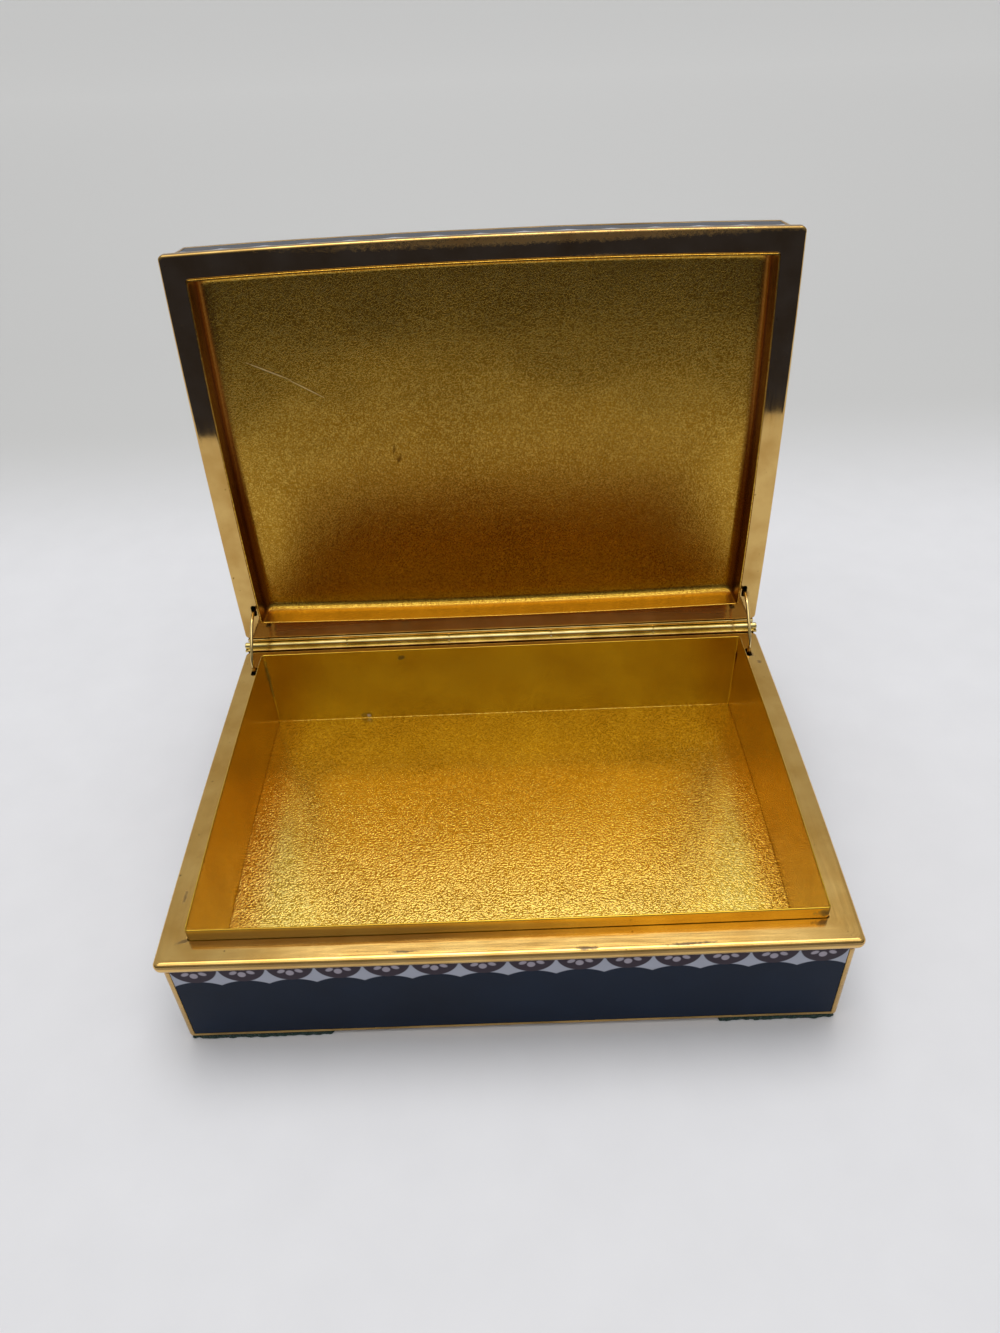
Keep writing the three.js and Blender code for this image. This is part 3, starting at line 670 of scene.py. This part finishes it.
# One burnt brown serves both the real stains on the lining and the painted shade on the lip's outer face.
BURNT_AND_SHADE_BROWN = "#4a2f0e"
WALL_SOIL_AND_PAINTED_SHADE = [(WALL_STAINS, BURNT_AND_SHADE_BROWN, 0.8, 1.6), (LIP_SHADE, BURNT_AND_SHADE_BROWN, 0.7, 0), (SOLDER, "#cfc4cf", 0.8, 0.5)]
liner_brass = satin_brass("satin_brass_lining", "#deb640", "#cca032", 0.24, WALL_SOIL_AND_PAINTED_SHADE)
floor_brass = grained_brass("grained_brass_floor", "#debb45", "#cba434", "#f8e084", 0.18, 0.012)
# The tray's side walls are painted dark brown, a painted dark reflection, beside its real scratches and
# stains.
worn = {"side_wall_shade": "#7a4518", "scratches": LID_SCRATCHES, "stains": LID_STAINS}
tray_brass = grained_brass("grained_brass_tray", "#c4942f", "#b08023", "#e6bc52", 0.24, 0.006, **worn)

# %% The base's lining and floor
FLOOR_TOP = 9.1 - RIM_HEIGHT
CREASE_INSET = (7.9, 7.85)
CREASE_RADIUS = 0.32
SEAM_INSET = (8.6, 8.1)
SEAM_RADIUS = 0.12

foot = FLOOR_TOP - 0.6
outer_edge = [(i, z, 0.9) for i, z in quarter((6.9, 3.45), (7.15, 3.7), (6.9, 3.7), 4)]
inner_edge = [(i, z, 0.6) for i, z in quarter((7.15, 3.7), (7.4, 3.45), (7.4, 3.7), 4)]
liner_rows = [(7.5, foot, 1.4), (6.9, -1.2, 0.9), (6.9, 0.05, 0.9), (6.9, 3.4, 0.9)]
liner_rows += [*outer_edge, *inner_edge[1:]]
liner_rows += [(7.4, 3.4, 0.6), (7.42, 1.0, 0.6), (7.45, -1.2, 0.5), (7.7, -10.0, 0.4), (8.0, foot, 0.4)]


def round_bar(path, radius, turn=12):
    """A round bar along a path: circles across its direction, with domed ends, as one closed part."""
    path = np.asarray(path, float)
    ahead = np.gradient(path, axis=0)
    ahead /= np.linalg.norm(ahead, axis=1)[:, None]
    dome = np.sin(np.linspace(0.02, np.pi / 2, 5))[:-1]
    drawn_back = radius * np.sqrt(1 - dome**2)[:, None]
    path = np.concatenate([path[0] - ahead[0] * drawn_back, path, path[-1] + ahead[-1] * drawn_back[::-1]])
    ahead = np.concatenate([np.repeat(ahead[:1], 4, 0), ahead, np.repeat(ahead[-1:], 4, 0)])
    reach = radius * np.concatenate([dome, np.ones(len(path) - 8), dome[::-1]])
    side = np.cross(ahead, (0.31, 0.02, 0.95))
    side /= np.linalg.norm(side, axis=1)[:, None]
    other = np.cross(ahead, side)
    angle = np.linspace(0, 2 * np.pi, turn, endpoint=False)[None, :, None]
    circle = np.cos(angle) * side[:, None] + np.sin(angle) * other[:, None]
    points = path[:, None] + reach[:, None, None] * circle
    n = len(points)
    caps = [np.arange(turn)[None, ::-1], (n - 1) * turn + np.arange(turn)[None, :]]
    return [points, [grid_faces(n, turn), *caps], grid_uv(points)[..., ::-1]]


corner = np.array((BOX_WIDTH, BOX_DEPTH)) / 2 - CREASE_INSET
crease = np.linspace(foot + 3, -2.5, 12)[:, None] * (0, 0, 1) + (*corner, 0)
parts = [ring_part(base_plan, liner_rows), round_bar(crease, CREASE_RADIUS)]
liner = put_mesh("lining_of_base", parts, turn=base_up)
settle(liner, "base", "satin_brass", liner_brass, "base_liner")

floor_rows = [(7.96, foot, 0.5), (7.96, FLOOR_TOP - 0.1, 0.5), (8.1, FLOOR_TOP, 0.5), (8.4, FLOOR_TOP, 0.5)]
corner = np.array((BOX_WIDTH, BOX_DEPTH)) / 2 - SEAM_INSET
seam = np.linspace(-corner[0], corner[0], 40)[:, None] * (1, 0, 0) + (0, corner[1], FLOOR_TOP)
parts = [filled_part(base_plan, floor_rows), round_bar(seam, SEAM_RADIUS)]
floor_plate = put_mesh("floor_of_base", parts, turn=base_up)
settle(floor_plate, "base", "grained_brass", floor_brass, "base_floor")

# %% The lid's tray
TRAY_SHEET = 0.5
TRAY_DEPTH = 7.6
TRAY_FOLD = 2.4
TRAY_DEEP = 6.3

inside = TRAY_DEEP + TRAY_SHEET
folded = TRAY_DEPTH - TRAY_FOLD
under = TRAY_DEPTH + TRAY_SHEET
inner_fold = quarter((inside + TRAY_FOLD, TRAY_DEPTH), (inside, folded), (inside, TRAY_DEPTH), 10)
outer_fold = quarter((TRAY_DEEP, folded), (inside + TRAY_FOLD, under), (TRAY_DEEP, under), 10)
opened = np.linspace(0, 1, 11)
tray_rows = [(i, z, 1.6 - 0.6 * s) for (i, z), s in zip(inner_fold, opened)]
tray_rows += [(6.62, -0.2, 0.8), (6.6, -0.35, 0.8), (6.5, -0.5, 0.8), (6.2, -0.5, 0.8), (6.1, -0.35, 0.8)]
tray_rows += [(i, z, 1.0 + 0.6 * s) for (i, z), s in zip(outer_fold, opened)]
tray = put_mesh("tray_of_lid", [filled_part(lid_plan, tray_rows)], turn=lid_open)
settle(tray, "lid", "grained_brass", tray_brass, "lid_tray")

# %% [markdown]
# ## Cases and lacquer plates
# The cases are plain boxes of brass that show only as narrow strips round the lacquer. Their shape in the
# frame is right, so each is a copy whose corners are merged, cleaned and softly bevelled: a real
# edge is never perfectly sharp, and the small bevel catches the light.


# %% A dressed copy of a frame part
def dressed_copy(name, node, bevel, segments=2):
    """A copy of a node's mesh: doubles merged, flat faces joined, and a bevel of the given width in mm."""
    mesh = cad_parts[node].data.copy()
    mesh.name = name
    mesh.materials.clear()
    work = bmesh.new()
    work.from_mesh(mesh)
    bmesh.ops.remove_doubles(work, verts=work.verts, dist=2e-6)
    bmesh.ops.dissolve_limit(work, angle_limit=math.radians(0.5), verts=work.verts, edges=work.edges)
    work.to_mesh(mesh)
    work.free()
    made = bpy.data.objects.new(name, mesh)
    bpy.context.scene.collection.objects.link(made)
    mesh.polygons.foreach_set("use_smooth", np.ones(len(mesh.polygons), bool))
    if bevel:
        soft = made.modifiers.new("soft_edges", "BEVEL")
        soft.width, soft.segments, soft.limit_method = bevel * MM, segments, "ANGLE"
        soft.angle_limit = math.radians(40)
        soft.harden_normals = True
    mesh.set_sharp_from_angle(angle=math.radians(40))
    return made


def flat_map(piece, across, upward, origin):
    """Gives the mesh a map in mm: a point's distances from the origin along two unit directions."""
    mesh = piece.data
    co = np.empty(len(mesh.vertices) * 3)
    mesh.vertices.foreach_get("co", co)
    co = co.reshape(-1, 3) / MM - origin
    index = np.empty(len(mesh.loops), int)
    mesh.loops.foreach_get("vertex_index", index)
    uv = np.stack([co @ across, co @ upward], 1)[index]
    layer = mesh.uv_layers.get("mm") or mesh.uv_layers.new(name="mm")
    layer.data.foreach_set("uv", uv.ravel())
    return piece


X, Y, Z = np.eye(3)
lid_y, lid_z = lid_open[:3, 1], lid_open[:3, 2]
lid_rim_point = lid_open[:3, 3]

case = flat_map(dressed_copy("case_of_base", "base_case", 0.12), X + Y, Z, (0, 0, 0))
settle(case, "base", "gilt_brass", case_brass, "base_case")
case = flat_map(dressed_copy("case_of_lid", "lid_case", 0.12), X + lid_y, lid_z, (0, 0, 0))
settle(case, "lid", "gilt_brass", case_brass, "lid_case")

# %% [markdown]
# ## The painted border
# Under each rim runs a printed border on the dark lacquer: dark purple rounds with pale petals, pale blue
# grey between them, and below it the navy field in shallow scallops. It is only colour, so it is
# worked out in the material from the plate's own map: how far along the side, and how far from the rim.
# A finish of clear lacquer over it is smooth and reflects like glass, with an IOR of 1.5.

# %% Lacquer with a border
REPEAT = 11.36
ROUND = ((0, -0.5), (5.66, 5.55), 0)
SCALLOP = ((0, 16.25), (11.5, 11.5), 0)
PETALS = [((-0.2, 2.4), (0.95, 0.95), 12), ((-2.15, 1.7), (0.95, 0.6), -25), ((2.0, 1.7), (0.95, 0.6), 25)]


def oval(tree, place, middle, half_widths, turned, soft=0.12):
    """A mask that is 1 inside an oval: the length of (place - middle) / half widths, cut softly at 1."""
    box = {"Vector": place, "Location": (*middle, 0), "Rotation": (0, 0, math.radians(turned))}
    local = add(tree, "Mapping", {**box, "Scale": (*half_widths, 1)}, vector_type="TEXTURE")
    far = add(tree, "VectorMath", {0: local}, operation="LENGTH").outputs["Value"]
    edge = soft / min(half_widths)
    return add(tree, "MapRange", {"Value": far, "From Min": 1 - edge, "From Max": 1 + edge, **FALLING})


def lacquer(name, bordered=True):
    """Navy lacquer. The painted border repeats along the plate and is chosen by circles and ovals in mm."""
    tree, shader, made = start_material(name, "#141c2d", 0.1, 0.0)
    cloud = blotch(tree, 30.0, 0.3, 0.7)
    tone = add(tree, "MixRGB", {"Fac": cloud, "Color1": "#0f1a2b", "Color2": "#142338"})
    if bordered:
        own = add(tree, "SeparateXYZ", {"Vector": add(tree, "UVMap", uv_map="mm")})
        down = own.outputs["Y"]
        share = add(tree, "Math", {0: own.outputs["X"], 1: REPEAT}, operation="DIVIDE")
        share = add(tree, "Math", {0: share}, operation="FRACT")
        x = add(tree, "Math", {0: share, 1: REPEAT, 2: -REPEAT / 2}, operation="MULTIPLY_ADD")
        place = add(tree, "CombineXYZ", {"X": x, "Y": down})
        below = add(tree, "MapRange", {"Value": down, "From Min": 6.0, "From Max": 6.35})
        field = add(tree, "Math", {0: oval(tree, place, *SCALLOP), 1: below}, operation="MAXIMUM")
        tone = add(tree, "MixRGB", {"Fac": field, "Color1": "#b4b8c6", "Color2": tone})
        tone = add(tree, "MixRGB", {"Fac": oval(tree, place, *ROUND), "Color1": tone, "Color2": "#3e343e"})
        for petal in PETALS:
            shape = oval(tree, place, *petal)
            tone = add(tree, "MixRGB", {"Fac": shape, "Color1": tone, "Color2": "#aea6b2"})
    uneven = add(tree, "Bump", {"Height": blotch(tree, 5.0, 0.2, 0.8, 1.0), "Distance": 0.004 * MM})
    dress(tree, shader, Base_Color=tone, Normal=uneven)
    shader.inputs["Specular IOR Level"].default_value = 0.09
    return made


def raise_top(piece, above, rise):
    """Moves every point higher than 'above' up by 'rise', both in mm: z + rise where z > above."""
    co = np.empty(len(piece.data.vertices) * 3)
    piece.data.vertices.foreach_get("co", co)
    co[2::3] += np.where(co[2::3] > above * MM, rise * MM, 0)
    piece.data.vertices.foreach_set("co", co)
    piece.data.update()


navy = lacquer("lacquer_with_border")
plain_navy = lacquer("plain_navy_lacquer", bordered=False)
SIDES = {
    "front": (X, (-79.6, 0, 0)),
    "back": (-X, (79.6, 0, 0)),
    "left": (-Y, (0, 56.3, 0)),
    "right": (Y, (0, -56.3, 0)),
}
for side, (direction, start) in SIDES.items():
    plate = dressed_copy(f"lacquer_{side}_of_base", f"base_plate_{side}", 0.08)
    flat_map(plate, direction, -Z, np.array(start) + (0, SHIFT_Y, 28.3))
    raise_top(plate, 20.0, PLATE_RISE)
    settle(plate, "base", "navy_lacquer", navy, f"base_plate_{side}")
    plate = dressed_copy(f"lacquer_{side}_of_lid", f"lid_plate_{side}", 0.08)
    across = lid_open[:3, :3] @ direction
    flat_map(plate, across, lid_z, lid_rim_point + lid_open[:3, :3] @ np.array((*start[:2], 3.3)))
    settle(plate, "lid", "navy_lacquer", navy, f"lid_plate_{side}")

# %% The lid's top plate
TOP_INSET = 1.7 + 1.8 + 0.1
shares = np.sqrt(np.linspace(1, 0.0004, 28))


def top_plan(inset, radius):
    """Smaller copies of the top's outline: here 'inset' is the share of its size."""
    return lid_plan(TOP_INSET, radius) * inset


crown = [(s, 16.45 + 0.8 * (1 - s**2), 2.0) for s in shares]
top_rows = [(1.0, 15.95, 2.0), (1.0, 16.38, 2.0), (0.9995, 16.43, 2.0), *crown[1:]]
top = put_mesh("lacquer_top_of_lid", [filled_part(top_plan, top_rows)], turn=lid_open)
settle(top, "lid", "navy_lacquer", plain_navy, "lid_plate_top")

# %% [markdown]
# ## Hinge and stays
# The hinge is a piano hinge: five knuckles rolled from sheet round one pin, with leaves soldered under both
# rims. Each knuckle is a short tube whose ends are slightly rounded. A narrow collar closes the gap to the
# next.
# The stays are 1 mm wire, bent to an arc about the hinge pin that is flatter in its middle, with a foot
# turned in at each end that stops behind its rim.

# %% Knuckles and leaves
BARREL = 1.1
HINGE_LENGTH = BOX_WIDTH + 0.6
KNUCKLE = HINGE_LENGTH / 5
KNUCKLE_GAP = 0.2
COLLAR = 0.15
LEAF_STRIPS = [((-2.2, -3.1), (-1.6, -0.5)), ((-2.2, -1.6), (-1.25, -0.25)), ((-1.4, -1.62), (0.5, -1.34))]


def tube_part(x0, x1, inner, outer, turn=24):
    """A tube along X with rounded ends and a short collar: (x, radius) carried round the hinge axis."""
    soft, collar = 0.12, outer - 0.25
    profile = [(x0 - COLLAR, inner), (x0 - COLLAR, collar), (x0, collar), (x0, outer - soft)]
    profile += [(x0 + 0.04, outer - 0.04), (x0 + soft, outer), (x0 + 0.3, outer)]
    profile += [(x1 - 0.3, outer), (x1 - soft, outer), (x1 - 0.04, outer - 0.04), (x1, outer - soft)]
    profile += [(x1, collar), (x1 + COLLAR, collar), (x1 + COLLAR, inner)]
    angle = np.linspace(0, 2 * np.pi, turn, endpoint=False)
    x, r = np.array(profile).T
    points = np.stack(
        [np.repeat(x[:, None], turn, 1), r[:, None] * np.cos(angle), r[:, None] * -np.sin(angle)], -1
    )
    uv = grid_uv(points, close_rows=True)[..., ::-1]
    return [points, grid_faces(*points.shape[:2], close_rows=True), uv]


def bar_part(low, high, soft=0.08):
    """A bar between two corners whose long edges are cut by small chamfers."""
    (x0, y0, z0), (x1, y1, z1) = low, high
    below = [(y0 + soft, z0), (y1 - soft, z0), (y1, z0 + soft)]
    above = [(y1, z1 - soft), (y1 - soft, z1), (y0 + soft, z1)]
    ring = np.array([*below, *above, (y0, z1 - soft), (y0, z0 + soft)])
    points = np.stack([np.column_stack([np.full(len(ring), x), ring]) for x in (x0, x1)])
    n = len(ring)
    faces = [grid_faces(2, n)[:, ::-1], np.arange(n)[None, :], n + np.arange(n)[None, ::-1]]
    return [points, [f[:, ::-1] for f in faces], grid_uv(points)[..., ::-1]]


def hinge_half(name, owned, pin_hole, turn):
    """A leaf and its knuckles about the axis; a web joins each knuckle to the leaf."""
    start = -HINGE_LENGTH / 2
    parts = [bar_part((start + 1, *low), (-start - 1, *high), 0.06) for low, high in LEAF_STRIPS]
    for i in owned:
        x0 = start + i * KNUCKLE + (KNUCKLE_GAP if i > 0 else 0)
        x1 = start + (i + 1) * KNUCKLE - (KNUCKLE_GAP if i < 4 else 0)
        parts.append(tube_part(x0, x1, pin_hole, BARREL))
        parts.append(bar_part((x0 + 0.02, -2.0, -1.08), (x1 - 0.02, -0.7, -0.52), 0.02))
    return put_mesh(name, parts, turn=turn)


axis_turn = np.array(Matrix.Translation((0, AXIS[1] + SHIFT_Y, AXIS[2])))
swing = axis_turn @ np.array(Matrix.Rotation(math.radians(-OPENING), 4, "X")) @ turned_over
piece = hinge_half("hinge_half_of_base", (0, 2, 4), 0.53, axis_turn)
settle(piece, "base", "gilt_brass", barrel_brass, "hinge_base")
piece = hinge_half("hinge_half_of_lid", (1, 3), 0.65, swing)
settle(piece, "lid", "gilt_brass", barrel_brass, "hinge_lid")


# %% Pin and stays
axis_point = np.array((0, AXIS[1] + SHIFT_Y, AXIS[2]))
ends = np.linspace(-0.5, 0.5, 30) * (HINGE_LENGTH - 0.4)
pin = put_mesh("pin_of_hinge", [round_bar(axis_point + ends[:, None] * X, 0.5, 16)], sharp=60)
settle(pin, "base", "gilt_brass", barrel_brass, "hinge_pin")

FLATTER = 1.3
WIRE_RADIUS = 0.5
PAST_RIM = WIRE_RADIUS + 1.2 + 0.15 + 0.4
past = math.asin(PAST_RIM / STAY_RADIUS)
angle = np.linspace(-past, math.radians(OPENING) + past, 60)
share = np.clip(angle / math.radians(OPENING), 0, 1)
reach = (STAY_RADIUS - FLATTER * np.sin(np.pi * share) ** 2)[:, None]
arc = axis_point + reach * (-np.cos(angle)[:, None] * Y + np.sin(angle)[:, None] * Z)
for name, side in (("left", -1), ("right", 1)):
    low_foot = arc[0] - side * X * np.linspace(1.1, 0.1, 6)[:, None]
    high_foot = arc[-1] - side * X * np.linspace(0.1, 1.1, 6)[:, None]
    path = np.concatenate([low_foot, arc[1:-1], high_foot]) + side * SLOT_X * X
    stay = put_mesh(f"wire_stay_{name}", [round_bar(path, WIRE_RADIUS, 16)], sharp=60)
    settle(stay, f"stay_{name}", "gilt_brass", wire_brass, f"stay_{name}")

# %% [markdown]
# ## Felt pads
# Four rectangles of dark green felt are glued under the corners. Felt is matted wool: it has no threads,
# a soft ragged cut edge, and it swallows light, so its roughness is 1 with a little sheen.

# %% Pads
tree, shader, felt = start_material("green_wool_felt", "#14302a", 1.0, 0.0)
fibres = blotch(tree, 0.5, 0.3, 0.7)
wool = add(tree, "MixRGB", {"Fac": fibres, "Color1": "#0e231e", "Color2": "#1d4338"})
dress(tree, shader, Base_Color=wool, Normal=add(tree, "Bump", {"Height": fibres, "Distance": 0.3 * MM}))
shader.inputs["Sheen Weight"].default_value = 0.3

rng = np.random.default_rng(7)
for row, sy in (("front", -1), ("back", 1)):
    for name, sx in (("left", -1), ("right", 1)):
        node = f"felt_pad_{row}_{name}"
        low, high = (np.array(corner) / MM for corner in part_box(node))
        if row == "front":
            low[0] += 5.0 if name == "right" else 0.0
            high[0] += 2.0 if name == "left" else 0.0
        middle, size = (low + high) / 2, (high - low) / 2
        edge = outline(size[0], size[1], 0.8, 0, 0, 0, long=90, short=70, corner=4)
        ragged = np.convolve(rng.normal(0, 1, len(edge) + 6), np.ones(4) / 4, "valid")[: len(edge)]
        away = edge / np.linalg.norm(edge, axis=1)[:, None]
        rows = []
        for z, grow in ((0.0, -0.3), (0.02, 0.25), (0.3, 0.45), (0.7, 0.2), (0.95, 0.0), (1.0, -0.3)):
            out = edge + np.sign(edge) * (grow + 0.22 * ragged[:, None] * (1 if 0 < z < 1 else 0))
            rows.append(np.column_stack([out + middle[:2], np.full(len(edge), z)]))
        points = np.stack(rows)
        columns = len(edge)
        caps = [np.arange(columns)[None, ::-1], (len(rows) - 1) * columns + np.arange(columns)[None, :]]
        part = [points, [grid_faces(len(rows), columns), *caps], grid_uv(points)]
        pad = put_mesh(f"felt_{row}_{name}", [part])
        settle(pad, "base", "green_felt", felt, node)
